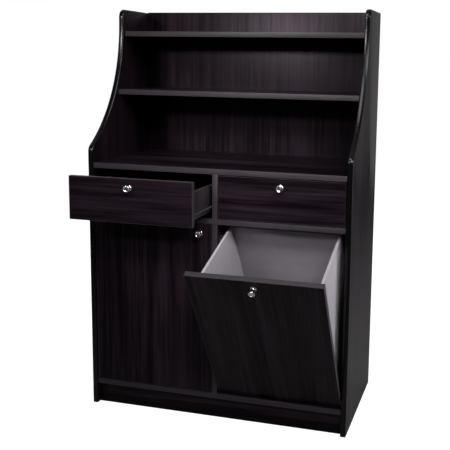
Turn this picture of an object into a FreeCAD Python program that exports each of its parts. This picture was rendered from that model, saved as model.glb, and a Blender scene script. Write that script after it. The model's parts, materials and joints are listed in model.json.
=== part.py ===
"""Waiter station with two drawers, a hinged cupboard door and a tip-out bin.

Millimetres. X runs to the right, Y to the back and Z up. The origin is on the floor, at the
middle of the case. The model stands as photographed: the left drawer is pulled out, the bin
is tipped forward onto its stops, and the right drawer and the door are shut.
"""
import FreeCAD
import Part

import math
import os

Vec = FreeCAD.Vector

# Overall size of the case
overall_width = 950.0
overall_depth = 485.0
overall_height = 1444.0

# Boards
board_t = 19.0
lower_back_t = 8.0
edging_t = 2.0
front_setback = 5.0

# Plinth and the loose shelf's upper face above the bottom shelf
plinth_h = 75.0
cupboard_shelf_rise = 301.0

# Upper faces of the other shelves, down from the top of the case
top_shelf_drop = 81.0
middle_shelf_drop = 296.0
worktop_drop = 548.0
drawer_shelf_drop = 721.0

# Curved front of the side panels
upper_depth = 235.0
sweep_radius = 530.0
sweep_end_drop = 44.0
shoulder_radius = 28.0
top_corner_radius = 32.0
middle_shelf_setback = 16.0
top_shelf_setback = 10.0

# Rounded edge moulding with its tongue
moulding_t = 3.0
moulding_flat = 0.4
rim_tolerance = 0.01
tongue_t = 1.8
tongue_depth = 9.0
tongue_gap = 0.1

# Plinth
plinth_setback = 20.0
rear_plinth_setback = 12.0

# Gaps around the fronts
front_gap = 3.0

# Drawers
drawer_side_t = 12.0
drawer_side_h = 90.0
drawer_side_lift = 20.0
drawer_box_length = 400.0
drawer_bottom_t = 5.0
drawer_bottom_lift = 8.0
drawer_groove_depth = 5.0
groove_clearance = 0.2
left_drawer_pull = 174.0

# Roller runners, one pair for each drawer
runner_gap = 12.5
runner_sheet = 1.2
runner_set_in = 2.0
case_rail_flange = 10.5
case_rail_top_flange = 9.0
case_roller_d = 22.0
slide_roller_d = 24.0
roller_width = 6.0
roller_from_wall = 3.2
roller_end_distance = 14.0
roller_play = 0.3
rail_drop = 9.2
case_roller_lift = 1.6
axle_d = 5.0
axle_clearance = 0.05
axle_beyond = 0.3
slide_under_width = 13.0
lip_reach = 8.6
top_flange_cutback = 46.0

# Pivot pins of the door and the bin
pin_d = 8.0
pin_inset = 20.0
pin_in_front = 24.0
pin_in_bush = 11.0
pin_clearance = 0.05
bush_d = 12.0
bush_length = 13.0
bush_flange_d = 18.0
bush_flange_t = 1.2
bush_clearance = 0.05

# Tip-out bin
bin_open_angle = 32.0
bin_wall_t = 9.0
bin_gap = 24.0
bin_depth = 346.0
bin_front_drop = 48.0
bin_back_clearance = 13.5
bin_floor_lift = 8.0

# Stops of the bin
stop_stud_d = 8.0
stop_buffer_d = 20.0
stop_back = 280.0
stop_up = 190.0
stop_air = 0.3
stop_stud_short = 9.0
stop_buffer_short = 4.0
stop_buffer_l = 14.0
stop_bolt_in = 12.0

# Knobs
knob_base_d = 20.0
knob_neck_d = 10.0
knob_head_d = 22.0
knob_projection = 25.0
knob_foot_t = 1.5
knob_flare_d = 15.0
knob_flare_h = 3.5
knob_head_t = 6.0
knob_rim = 2.5
knob_recess = 2.5
knob_from_top = 30.0
door_knob_from_edge = 40.0
knob_bore_d = 3.4
knob_bore_depth = 14.0
knob_screw_hole_d = 5.0

# Magnetic catches and their plates
catch_length = 46.0
catch_depth = 15.0
catch_t = 13.0
catch_air = 0.6
strike_length = 40.0
strike_width = 12.0
strike_t = 1.5
door_catch_from_edge = 48.0
bin_catch_drop = 40.0
strike_edge = 2.0

# Loose shelf and its pins
shelf_pin_d = 5.0
shelf_pin_in = 9.0
shelf_pin_out = 9.0
shelf_pin_from_end = 50.0
shelf_side_play = 1.0
cupboard_shelf_setback = 42.0
cupboard_shelf_back_play = 2.0

# Places worked out from the sizes above
half_width = overall_width / 2.0
half_depth = overall_depth / 2.0
inner_x = half_width - board_t
divider_x = board_t / 2.0
case_front = -half_depth
case_back = half_depth
front_face = case_front + front_setback
lower_rear = case_back - lower_back_t
upper_front = case_back - upper_depth
top_shelf_z = overall_height - top_shelf_drop
middle_shelf_z = overall_height - middle_shelf_drop
worktop_z = overall_height - worktop_drop
drawer_shelf_z = overall_height - drawer_shelf_drop
bottom_shelf_z = plinth_h + board_t
cupboard_shelf_z = bottom_shelf_z + cupboard_shelf_rise
front_back_face = front_face + board_t


def box(x0, x1, y0, y1, z0, z1):
    """Solid block between the given faces."""
    return Part.makeBox(x1 - x0, y1 - y0, z1 - z0, Vec(x0, y0, z0))


def rod_x(diameter, x0, x1, y, z):
    """Round bar along X."""
    return Part.makeCylinder(diameter / 2.0, x1 - x0, Vec(x0, y, z), Vec(1, 0, 0))


def rod_y(diameter, x, y0, y1, z):
    """Round bar along Y."""
    return Part.makeCylinder(diameter / 2.0, y1 - y0, Vec(x, y0, z), Vec(0, 1, 0))


def rod_z(diameter, x, y, z0, z1):
    """Round bar along Z."""
    return Part.makeCylinder(diameter / 2.0, z1 - z0, Vec(x, y, z0), Vec(0, 0, 1))


def moved(shape, x=0.0, y=0.0, z=0.0):
    """Copy of a shape, moved."""
    copy = shape.copy()
    copy.translate(Vec(x, y, z))
    return copy


def cut_all(shape, tools):
    """Shape with every tool cut from it."""
    for tool in tools:
        shape = shape.cut(tool)
    return shape


# Side panels and their mouldings

sweep_centre_y = upper_front - sweep_radius
sweep_centre_z = overall_height - sweep_end_drop
shoulder_centre_y = case_front + shoulder_radius
shoulder_reach = sweep_radius + shoulder_radius
shoulder_across = shoulder_centre_y - sweep_centre_y
shoulder_centre_z = sweep_centre_z - math.sqrt(shoulder_reach ** 2 - shoulder_across ** 2)


def panel_front_at(z):
    """Y of the side panel's front edge at a height on the sweep or above it."""
    below = max(0.0, sweep_centre_z - z)
    return sweep_centre_y + math.sqrt(sweep_radius ** 2 - below ** 2)


def point_on(centre_y, centre_z, radius, angle, x):
    """Point on a circle in a plane X = x. The angle runs from +Y to +Z."""
    return Vec(x, centre_y + radius * math.cos(angle), centre_z + radius * math.sin(angle))


def arc_on(centre_y, centre_z, radius, start, end, x):
    """Arc edge in a plane X = x between two angles."""
    middle = (start + end) / 2.0
    points = [point_on(centre_y, centre_z, radius, a, x) for a in (start, middle, end)]
    return Part.Arc(*points).toShape()


def front_edge_line(x, inset):
    """Edges of the front, sweep and top of a side panel, set in by a distance."""
    join_angle = math.atan2(shoulder_centre_z - sweep_centre_z, shoulder_across)
    corner_y = upper_front + top_corner_radius
    corner_z = overall_height - top_corner_radius
    shoulder = arc_on(shoulder_centre_y, shoulder_centre_z, shoulder_radius - inset,
                      math.pi, math.pi + join_angle, x)
    sweep = arc_on(sweep_centre_y, sweep_centre_z, sweep_radius + inset, join_angle, 0.0, x)
    corner = arc_on(corner_y, corner_z, top_corner_radius - inset, math.pi, math.pi / 2.0, x)
    foot = Vec(x, case_front + inset, 0)
    back_top = Vec(x, case_back, overall_height - inset)
    return [
        Part.makeLine(foot, shoulder.Vertexes[0].Point),
        shoulder,
        sweep,
        Part.makeLine(sweep.Vertexes[-1].Point, corner.Vertexes[0].Point),
        corner,
        Part.makeLine(corner.Vertexes[-1].Point, back_top),
    ]


def panel_blank(x0, thickness, inset):
    """Side panel outline, set in along its moulded edges, as a solid of some thickness."""
    edges = front_edge_line(x0, inset)
    back_top = edges[-1].Vertexes[-1].Point
    foot = edges[0].Vertexes[0].Point
    back_foot = Vec(x0, case_back, 0)
    edges.append(Part.makeLine(back_top, back_foot))
    edges.append(Part.makeLine(back_foot, foot))
    wire = Part.Wire(Part.__sortEdges__(edges))
    return Part.Face(wire).extrude(Vec(thickness, 0, 0))


def edge_band(x0, thickness, outer_inset, inner_inset):
    """Band that follows the moulded edges between two insets."""
    outer = panel_blank(x0, thickness, outer_inset)
    return outer.cut(panel_blank(x0, thickness, inner_inset))


def side_panel(x0):
    """Side panel with the groove that takes the moulding's tongue."""
    groove_t = tongue_t + 2 * tongue_gap
    groove_x = x0 + (board_t - groove_t) / 2.0
    groove_end = moulding_t + tongue_depth + tongue_gap
    groove = edge_band(groove_x, groove_t, moulding_t, groove_end)
    return panel_blank(x0, board_t, moulding_t).cut(groove)


def edge_moulding(x0):
    """Rounded moulding on the front, sweep and top of a side panel."""
    crown = edge_band(x0, board_t, 0.0, moulding_t)
    rims = []
    for x in (x0, x0 + board_t):
        path = Part.Wire(Part.__sortEdges__(front_edge_line(x, 0.0)))
        for edge in crown.Edges:
            middle = edge.valueAt((edge.FirstParameter + edge.LastParameter) / 2.0)
            if Part.Vertex(middle).distToShape(path)[0] < rim_tolerance:
                rims.append(edge)
    crown = crown.makeFillet(moulding_t - moulding_flat, rims)
    tongue_x = x0 + (board_t - tongue_t) / 2.0
    tongue = edge_band(tongue_x, tongue_t, moulding_t, moulding_t + tongue_depth)
    return crown.fuse(tongue).removeSplitter()


# Bushes for the pivot pins

def bush(length_axis, x, y, z, direction):
    """Flanged bush, its flange on the board's face, with the hole that the board needs."""
    axis = Vec(direction if length_axis == "x" else 0, 0, direction if length_axis == "z" else 0)
    face = Vec(x, y, z)
    body = Part.makeCylinder(bush_d / 2.0, bush_length, face, axis)
    hole = Part.makeCylinder(bush_d / 2.0 + bush_clearance, bush_length + bush_clearance, face, axis)
    flange_start = face - axis * bush_flange_t
    flange = Part.makeCylinder(bush_flange_d / 2.0, bush_flange_t, flange_start, axis)
    bore_d = pin_d + 2 * pin_clearance
    bore = Part.makeCylinder(bore_d / 2.0, bush_length + bush_flange_t, flange_start, axis)
    return body.fuse(flange).cut(bore).removeSplitter(), hole


# Knobs

def knob(x, y, z):
    """Turned knob on a face that looks to -Y: round foot, neck that flares, recessed head."""
    foot_r = knob_base_d / 2.0
    neck_r = knob_neck_d / 2.0
    head_r = knob_head_d / 2.0
    recess_r = head_r - knob_rim
    head_back = knob_projection - knob_head_t
    recess_floor = knob_projection - knob_recess
    outline = [
        (0, 0),
        (foot_r, 0),
        (foot_r, knob_foot_t),
        (neck_r, knob_foot_t),
        (neck_r, head_back - knob_flare_h),
        (knob_flare_d / 2.0, head_back),
        (head_r, head_back),
        (head_r, knob_projection),
        (recess_r, knob_projection),
        (recess_r, recess_floor),
        (0, recess_floor),
        (0, 0),
    ]
    wire = Part.makePolygon([Vec(x + radius, y - out, z) for radius, out in outline])
    turned = Part.Face(wire).revolve(Vec(x, y, z), Vec(0, 1, 0), 360)
    return turned.cut(rod_y(knob_bore_d, x, y - knob_bore_depth, y, z))


def knob_hole(x, z, y0, y1):
    """Clearance hole for the knob's screw."""
    return rod_y(knob_screw_hole_d, x, y0, y1, z)


# Roller runners. Across each runner, u is the distance from the case wall towards the drawer.

drawer_side_z = drawer_shelf_z + front_gap + drawer_side_lift
rail_z = drawer_side_z - rail_drop
case_roller_z = rail_z + runner_sheet + case_roller_lift + case_roller_d / 2.0
lip_z = case_roller_z + case_roller_d / 2.0 + roller_play
top_flange_z = lip_z + runner_sheet + roller_play
slide_roller_z = rail_z + runner_sheet + roller_play + slide_roller_d / 2.0
rail_front = front_back_face + runner_set_in
case_roller_y = rail_front + roller_end_distance
drawer_rear = front_back_face + drawer_box_length
slide_roller_y = drawer_rear - roller_end_distance


def across(wall_x, direction, u0, u1, y0, y1, z0, z1):
    """Block between two distances from a case wall. Direction is the sign of X inwards."""
    xs = sorted((wall_x + direction * u0, wall_x + direction * u1))
    return box(xs[0], xs[1], y0, y1, z0, z1)


def rod_across(diameter, wall_x, direction, u0, u1, y, z):
    """Round bar along X between two distances from a case wall."""
    xs = sorted((wall_x + direction * u0, wall_x + direction * u1))
    return rod_x(diameter, xs[0], xs[1], y, z)


def case_rail(wall_x, direction):
    """Fixed rail: channel of bent sheet with its roller's axle at the front end."""
    y0 = rail_front
    y1 = drawer_rear
    top_z = top_flange_z + runner_sheet
    web = across(wall_x, direction, 0, runner_sheet, y0, y1, rail_z, top_z)
    floor = across(wall_x, direction, 0, case_rail_flange, y0, y1, rail_z, rail_z + runner_sheet)
    roof = across(wall_x, direction, 0, case_rail_top_flange,
                  y0 + top_flange_cutback, y1, top_flange_z, top_z)
    axle_end = roller_from_wall + roller_width + axle_beyond
    axle = rod_across(axle_d, wall_x, direction, 0, axle_end, case_roller_y, case_roller_z)
    return web.fuse([floor, roof, axle]).removeSplitter()


def slide_rail(wall_x, direction):
    """Drawer's rail: wraps the side's lower edge, its lip rides on the case's roller."""
    y0 = front_back_face + runner_set_in
    y1 = drawer_rear
    web_in = runner_gap - runner_sheet
    web = across(wall_x, direction, web_in, runner_gap, y0, y1,
                 drawer_side_z - runner_sheet, lip_z + runner_sheet)
    under = across(wall_x, direction, web_in, runner_gap + slide_under_width, y0, y1,
                   drawer_side_z - runner_sheet, drawer_side_z)
    lip_end = slide_roller_y - roller_end_distance
    lip = across(wall_x, direction, runner_gap - lip_reach, runner_gap, y0, lip_end,
                 lip_z, lip_z + runner_sheet)
    axle = rod_across(axle_d, wall_x, direction, roller_from_wall - axle_beyond, runner_gap,
                      slide_roller_y, slide_roller_z)
    return web.fuse([under, lip, axle]).removeSplitter()


def roller(diameter, wall_x, direction, y, z):
    """Roller with its bore."""
    u1 = roller_from_wall + roller_width
    wheel = rod_across(diameter, wall_x, direction, roller_from_wall, u1, y, z)
    bore_d = axle_d + 2 * axle_clearance
    return wheel.cut(rod_across(bore_d, wall_x, direction, roller_from_wall, u1, y, z))


# Drawers

def drawer(name, x0, x1, knob_x, pull):
    """Nodes of one drawer between two case walls, pulled out by a distance."""
    opening_top = worktop_z - board_t
    face_x0 = x0 + front_gap
    face_x1 = x1 - front_gap
    face_z0 = drawer_shelf_z + front_gap
    face_z1 = opening_top - front_gap
    side_x0 = x0 + runner_gap
    side_x1 = x1 - runner_gap
    side_z1 = drawer_side_z + drawer_side_h
    floor_z = drawer_side_z + drawer_bottom_lift
    floor_x0 = side_x0 + drawer_side_t - drawer_groove_depth
    floor_x1 = side_x1 - drawer_side_t + drawer_groove_depth
    groove = box(floor_x0 - groove_clearance, floor_x1 + groove_clearance,
                 front_back_face - drawer_groove_depth - groove_clearance, drawer_rear,
                 floor_z - groove_clearance, floor_z + drawer_bottom_t + groove_clearance)
    knob_z = face_z1 - knob_from_top
    face = box(face_x0, face_x1, front_face, front_back_face, face_z0, face_z1)
    hole = knob_hole(knob_x, knob_z, front_face, front_back_face)
    left_side = box(side_x0, side_x0 + drawer_side_t, front_back_face, drawer_rear,
                    drawer_side_z, side_z1)
    right_side = box(side_x1 - drawer_side_t, side_x1, front_back_face, drawer_rear,
                     drawer_side_z, side_z1)
    back_z0 = floor_z + drawer_bottom_t + groove_clearance
    back = box(side_x0 + drawer_side_t, side_x1 - drawer_side_t,
               drawer_rear - drawer_side_t, drawer_rear, back_z0, side_z1)
    floor = box(floor_x0, floor_x1, front_back_face - drawer_groove_depth, drawer_rear,
                floor_z, floor_z + drawer_bottom_t)
    slides = Part.makeCompound([slide_rail(x0, 1), slide_rail(x1, -1)])
    wheels = Part.makeCompound([
        roller(slide_roller_d, x0, 1, slide_roller_y, slide_roller_z),
        roller(slide_roller_d, x1, -1, slide_roller_y, slide_roller_z),
    ])
    nodes = {
        name + "_front": cut_all(face, [hole, groove]),
        name + "_left_side": left_side.cut(groove),
        name + "_right_side": right_side.cut(groove),
        name + "_back": back,
        name + "_bottom": floor,
        name + "_knob": knob(knob_x, front_face, knob_z),
        name + "_slide_rails": slides,
        name + "_slide_rollers": wheels,
    }
    nodes = {key: moved(shape, y=-pull) for key, shape in nodes.items()}
    nodes[name + "_case_rollers"] = Part.makeCompound([
        roller(case_roller_d, x0, 1, case_roller_y, case_roller_z),
        roller(case_roller_d, x1, -1, case_roller_y, case_roller_z),
    ])
    return nodes


# Door

door_x0 = -inner_x + front_gap
door_x1 = -divider_x - front_gap
lower_front_z0 = bottom_shelf_z + front_gap
lower_front_z1 = drawer_shelf_z - board_t - front_gap
pivot_y = front_face + board_t / 2.0
door_pivot_x = door_x0 + pin_inset


def door():
    """Nodes of the cupboard door, which turns on a pin at the top and one at the bottom."""
    knob_x = door_x1 - door_knob_from_edge
    knob_z = lower_front_z1 - knob_from_top
    panel = box(door_x0, door_x1, front_face, front_back_face, lower_front_z0, lower_front_z1)
    pins = []
    for edge_z, direction in ((lower_front_z0, -1), (lower_front_z1, 1)):
        start = Vec(door_pivot_x, pivot_y, edge_z - direction * pin_in_front)
        length = pin_in_front + front_gap + pin_in_bush
        pins.append(Part.makeCylinder(pin_d / 2.0, length, start, Vec(0, 0, direction)))
    strike_x1 = door_x1 - door_catch_from_edge
    strike_z1 = lower_front_z1 - strike_edge
    strike = box(strike_x1 - strike_length, strike_x1, front_back_face,
                 front_back_face + strike_t, strike_z1 - strike_width, strike_z1)
    hole = knob_hole(knob_x, knob_z, front_face, front_back_face)
    return {
        "door_panel": cut_all(panel, pins + [hole]),
        "door_knob": knob(knob_x, front_face, knob_z),
        "door_pivot_pins": Part.makeCompound(pins),
        "door_strike_plate": strike,
    }


# Tip-out bin, drawn shut and then tipped

bin_x0 = divider_x + front_gap
bin_x1 = inner_x - front_gap
bin_wall_x0 = divider_x + bin_gap
bin_wall_x1 = inner_x - bin_gap
bin_pivot_z = lower_front_z0 + pin_inset
bin_base_z = lower_front_z0 + bin_floor_lift
bin_rear = front_back_face + bin_depth
bin_front_top = lower_front_z1 - bin_front_drop
# The back's top edge passes under the drawer shelf when the bin is tipped
bin_back_reach = (bin_rear - pivot_y) * math.sin(math.radians(bin_open_angle))
bin_back_rise = drawer_shelf_z - board_t - bin_back_clearance - bin_pivot_z - bin_back_reach
bin_back_top = bin_pivot_z + bin_back_rise / math.cos(math.radians(bin_open_angle))
bin_catch_z1 = lower_front_z1 - bin_catch_drop


def bin_side(x0):
    """Side wall of the bin, lower at the back so that it clears the shelf above."""
    corners = [
        Vec(x0, front_back_face, bin_base_z),
        Vec(x0, front_back_face, bin_front_top),
        Vec(x0, bin_rear, bin_back_top),
        Vec(x0, bin_rear, bin_base_z),
    ]
    wire = Part.makePolygon(corners + corners[:1])
    return Part.Face(wire).extrude(Vec(bin_wall_t, 0, 0))


def tipped(shape, angle):
    """Copy of a shape, tipped forward about the bin's pivot."""
    copy = shape.copy()
    copy.rotate(Vec(0, pivot_y, bin_pivot_z), Vec(1, 0, 0), angle)
    return copy


def tip_out_bin():
    """Nodes of the bin, tipped forward to its open angle."""
    knob_x = (bin_x0 + bin_x1) / 2.0
    knob_z = lower_front_z1 - knob_from_top
    panel = box(bin_x0, bin_x1, front_face, front_back_face, lower_front_z0, lower_front_z1)
    pins = [
        rod_x(pin_d, bin_x0 - front_gap - pin_in_bush, bin_x0 + pin_in_front, pivot_y, bin_pivot_z),
        rod_x(pin_d, bin_x1 - pin_in_front, bin_x1 + front_gap + pin_in_bush, pivot_y, bin_pivot_z),
    ]
    hole = knob_hole(knob_x, knob_z, front_face, front_back_face)
    inside_x0 = bin_wall_x0 + bin_wall_t
    inside_x1 = bin_wall_x1 - bin_wall_t
    floor = box(inside_x0, inside_x1, front_back_face, bin_rear - bin_wall_t,
                bin_base_z, bin_base_z + bin_wall_t)
    back = box(inside_x0, inside_x1, bin_rear - bin_wall_t, bin_rear, bin_base_z, bin_back_top)
    strike_x0 = bin_x0 + strike_edge
    strike = box(strike_x0, strike_x0 + strike_width, front_back_face, front_back_face + strike_t,
                 bin_catch_z1 - (catch_length + strike_length) / 2.0,
                 bin_catch_z1 - (catch_length - strike_length) / 2.0)
    stud_y = pivot_y + stop_back
    stud_z = bin_pivot_z + stop_up
    left_stud = rod_x(stop_stud_d, divider_x + stop_stud_short, bin_wall_x0, stud_y, stud_z)
    right_stud = rod_x(stop_stud_d, bin_wall_x1, inner_x - stop_stud_short, stud_y, stud_z)
    nodes = {
        "bin_front": cut_all(panel, pins + [hole]),
        "bin_left_wall": bin_side(bin_wall_x0),
        "bin_right_wall": bin_side(bin_wall_x1 - bin_wall_t),
        "bin_back_wall": back,
        "bin_floor": floor,
        "bin_knob": knob(knob_x, front_face, knob_z),
        "bin_pivot_pins": Part.makeCompound(pins),
        "bin_strike_plate": strike,
        "bin_stop_studs": Part.makeCompound([left_stud, right_stud]),
    }
    return {key: tipped(shape, bin_open_angle) for key, shape in nodes.items()}


def bin_stops():
    """Bolts in the case with rubber buffers that the bin's studs meet when it is open."""
    angle = math.radians(bin_open_angle)
    out_y = stop_back * math.cos(angle) - stop_up * math.sin(angle)
    out_z = stop_back * math.sin(angle) + stop_up * math.cos(angle)
    reach = math.hypot(out_y, out_z)
    away = (stop_stud_d + stop_buffer_d) / 2.0 + stop_air
    y = pivot_y + out_y - away * out_z / reach
    z = bin_pivot_z + out_z + away * out_y / reach
    bolts = []
    buffers = []
    tip = bin_gap - stop_buffer_short
    seat = tip - stop_buffer_l
    for wall_x, direction in ((divider_x, 1), (inner_x, -1)):
        bolts.append(rod_across(stop_stud_d, wall_x, direction, -stop_bolt_in, seat, y, z))
        buffers.append(rod_across(stop_buffer_d, wall_x, direction, seat, tip, y, z))
    return bolts, buffers


# Case

def catches():
    """Magnetic catches: the door's hangs from the drawer shelf, the bin's is on the divider."""
    pole_y = front_back_face + strike_t + catch_air
    door_x = door_x1 - door_catch_from_edge - strike_length / 2.0
    shelf_under = drawer_shelf_z - board_t
    door_catch = box(door_x - catch_length / 2.0, door_x + catch_length / 2.0,
                     pole_y, pole_y + catch_depth, shelf_under - catch_t, shelf_under)
    bin_catch = box(divider_x, divider_x + catch_t, pole_y, pole_y + catch_depth,
                    bin_catch_z1 - catch_length, bin_catch_z1)
    return Part.makeCompound([door_catch, bin_catch])


def case():
    """Nodes of the fixed case."""
    core_front = front_face + edging_t
    middle_front = panel_front_at(middle_shelf_z) + middle_shelf_setback
    top_front = upper_front + top_shelf_setback
    upper_back_face = case_back - board_t
    worktop_under = worktop_z - board_t
    drawer_shelf_under = drawer_shelf_z - board_t
    shelf_rows = {
        "top_shelf": (top_front, upper_back_face, top_shelf_z),
        "middle_shelf": (middle_front, upper_back_face, middle_shelf_z),
        "worktop": (front_face, case_back, worktop_z),
        "drawer_shelf": (front_face, lower_rear, drawer_shelf_z),
        "bottom_shelf": (front_face, lower_rear, bottom_shelf_z),
    }
    nodes = {}
    edgings = {}
    for name, (y0, y1, z) in shelf_rows.items():
        nodes[name] = box(-inner_x, inner_x, y0 + edging_t, y1, z - board_t, z)
        edgings[name] = box(-inner_x, inner_x, y0, y0 + edging_t, z - board_t, z)

    # Boards that stand between the shelves
    nodes["upper_divider"] = box(-divider_x, divider_x, core_front, lower_rear,
                                 drawer_shelf_z, worktop_under)
    nodes["lower_divider"] = box(-divider_x, divider_x, core_front, lower_rear,
                                 bottom_shelf_z, drawer_shelf_under)
    divider_edges = [
        box(-divider_x, divider_x, front_face, core_front, drawer_shelf_z, worktop_under),
        box(-divider_x, divider_x, front_face, core_front, bottom_shelf_z, drawer_shelf_under),
    ]
    back_top = overall_height - edging_t
    nodes["upper_back"] = box(-inner_x, inner_x, upper_back_face, case_back, worktop_z, back_top)
    nodes["upper_back_edging"] = box(-inner_x, inner_x, upper_back_face, case_back,
                                     back_top, overall_height)
    nodes["lower_back"] = box(-inner_x, inner_x, lower_rear, case_back, plinth_h, worktop_under)

    # Plinth
    plinth_front = case_front + plinth_setback
    rear_plinth_back = case_back - rear_plinth_setback
    nodes["front_plinth"] = box(-inner_x, inner_x, plinth_front, plinth_front + board_t, 0, plinth_h)
    nodes["rear_plinth"] = box(-inner_x, inner_x, rear_plinth_back - board_t, rear_plinth_back,
                               0, plinth_h)
    nodes["plinth_bearer"] = box(-divider_x, divider_x, plinth_front + board_t,
                                 rear_plinth_back - board_t, 0, plinth_h)

    # Loose shelf on four pins behind the door
    loose_x0 = -inner_x + shelf_side_play
    loose_x1 = -divider_x - shelf_side_play
    loose_y0 = front_face + cupboard_shelf_setback
    loose_y1 = lower_rear - cupboard_shelf_back_play
    loose_under = cupboard_shelf_z - board_t
    nodes["cupboard_shelf"] = box(loose_x0, loose_x1, loose_y0 + edging_t, loose_y1,
                                  loose_under, cupboard_shelf_z)
    loose_edge = box(loose_x0, loose_x1, loose_y0, loose_y0 + edging_t,
                     loose_under, cupboard_shelf_z)
    pin_z = loose_under - shelf_pin_d / 2.0
    shelf_pins = []
    for wall_x, direction in ((-inner_x, 1), (-divider_x, -1)):
        for y in (loose_y0 + shelf_pin_from_end, loose_y1 - shelf_pin_from_end):
            shelf_pins.append(rod_across(shelf_pin_d, wall_x, direction,
                                         -shelf_pin_in, shelf_pin_out, y, pin_z))

    # Bushes for the pivot pins
    bushes = []
    bush_holes = []
    for axis, x, y, z, direction in (
        ("z", door_pivot_x, pivot_y, bottom_shelf_z, -1),
        ("z", door_pivot_x, pivot_y, drawer_shelf_under, 1),
        ("x", divider_x, pivot_y, bin_pivot_z, -1),
        ("x", inner_x, pivot_y, bin_pivot_z, 1),
    ):
        piece, hole = bush(axis, x, y, z, direction)
        bushes.append(piece)
        bush_holes.append(hole)
    stop_bolts, stop_buffers = bin_stops()
    for name in ("bottom_shelf", "drawer_shelf"):
        nodes[name] = cut_all(nodes[name], bush_holes[:2])
    nodes["lower_divider"] = cut_all(nodes["lower_divider"], bush_holes[2:] + stop_bolts + shelf_pins)

    # Side panels, drilled for everything that enters them
    drilled = bush_holes + stop_bolts + shelf_pins
    nodes["left_side_panel"] = cut_all(side_panel(-half_width), drilled)
    nodes["right_side_panel"] = cut_all(side_panel(inner_x), drilled)
    nodes["left_edge_moulding"] = cut_all(edge_moulding(-half_width), bush_holes)
    nodes["right_edge_moulding"] = cut_all(edge_moulding(inner_x), bush_holes)

    nodes["shelf_edgings"] = Part.makeCompound(
        [edgings["top_shelf"], edgings["middle_shelf"], loose_edge])
    nodes["case_edgings"] = Part.makeCompound(
        [edgings["worktop"], edgings["drawer_shelf"], edgings["bottom_shelf"]] + divider_edges)
    nodes["shelf_pins"] = Part.makeCompound(shelf_pins)
    nodes["pivot_bushes"] = Part.makeCompound(bushes)
    nodes["magnetic_catches"] = catches()
    nodes["stop_bolts"] = Part.makeCompound(stop_bolts)
    nodes["stop_buffers"] = Part.makeCompound(stop_buffers)
    nodes["case_rails"] = Part.makeCompound([
        case_rail(-inner_x, 1),
        case_rail(-divider_x, -1),
        case_rail(divider_x, 1),
        case_rail(inner_x, -1),
    ])
    return nodes


def main():
    """Build every node and write one STEP file for each."""
    os.makedirs("parts", exist_ok=True)
    middle = (inner_x + divider_x) / 2.0
    nodes = case()
    nodes.update(drawer("left_drawer", -inner_x, -divider_x, -middle, left_drawer_pull))
    nodes.update(drawer("right_drawer", divider_x, inner_x, middle, 0.0))
    nodes.update(door())
    nodes.update(tip_out_bin())
    for name, shape in nodes.items():
        if not shape.isValid():
            raise ValueError("node is not a valid shape: " + name)
        print(name, len(shape.Solids), "solids", round(sum(s.Volume for s in shape.Solids)), "mm3")
        shape.exportStep("parts/" + name + ".step")
    print(len(nodes), "nodes")


main()
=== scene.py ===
"""Waiter station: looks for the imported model, in metres and in the model's own frame.

Boards keep the model's shapes with softened arrises, and get woodgrain laminate, edge bands,
knobs, screws and runner details. The studio at the end holds the floor, lamps and camera.
"""
import json
import logging
import math
from dataclasses import dataclass
from enum import Enum
from functools import cache

import bmesh
import bpy
from mathutils import Matrix, Vector


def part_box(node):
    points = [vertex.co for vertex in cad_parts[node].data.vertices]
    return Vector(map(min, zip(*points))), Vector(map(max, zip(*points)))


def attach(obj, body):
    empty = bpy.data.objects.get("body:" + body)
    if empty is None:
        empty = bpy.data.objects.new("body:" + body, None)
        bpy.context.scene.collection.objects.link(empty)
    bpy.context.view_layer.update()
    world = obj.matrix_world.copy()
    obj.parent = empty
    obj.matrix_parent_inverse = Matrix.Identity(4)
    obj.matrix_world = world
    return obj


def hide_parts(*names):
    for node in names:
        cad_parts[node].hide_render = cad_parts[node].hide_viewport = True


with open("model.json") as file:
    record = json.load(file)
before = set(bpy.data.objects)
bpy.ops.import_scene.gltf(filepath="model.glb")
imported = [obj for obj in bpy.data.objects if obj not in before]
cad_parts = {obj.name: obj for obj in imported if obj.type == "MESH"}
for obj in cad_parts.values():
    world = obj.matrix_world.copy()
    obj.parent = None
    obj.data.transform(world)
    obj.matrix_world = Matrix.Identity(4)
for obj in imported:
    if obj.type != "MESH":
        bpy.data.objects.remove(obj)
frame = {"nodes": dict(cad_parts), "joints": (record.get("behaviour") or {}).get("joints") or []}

RGB = tuple[float, float, float]
Span = tuple[float, float]
Box = tuple[Vector, Vector]
Profile = list[tuple[float, float]]
Mesh = bmesh.types.BMesh
Material = bpy.types.Material
Node = bpy.types.Node
Socket = bpy.types.NodeSocket

SMOOTH_ANGLE = math.radians(35.0)
FLAT_ANGLE = math.radians(0.5)
MERGE_DISTANCE = 0.000002
WHITE = (1.0, 1.0, 1.0, 1.0)
X_AXIS = Vector((1.0, 0.0, 0.0))
Y_AXIS = Vector((0.0, 1.0, 0.0))
Z_AXIS = Vector((0.0, 0.0, 1.0))
UNMOVED = Matrix.Identity(4).freeze()

log = logging.getLogger("waiter_station")


class Grain(Enum):
    """Direction in which a board's grain runs, by its axis."""

    UPRIGHT = 2
    SIDEWAYS = 0
    FRONT_TO_BACK = 1


class Head(Enum):
    """Kinds of fastener heads."""

    CROSS_SCREW = "cross_screw"
    COVER_CAP = "cover_cap"


# Node trees

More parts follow.
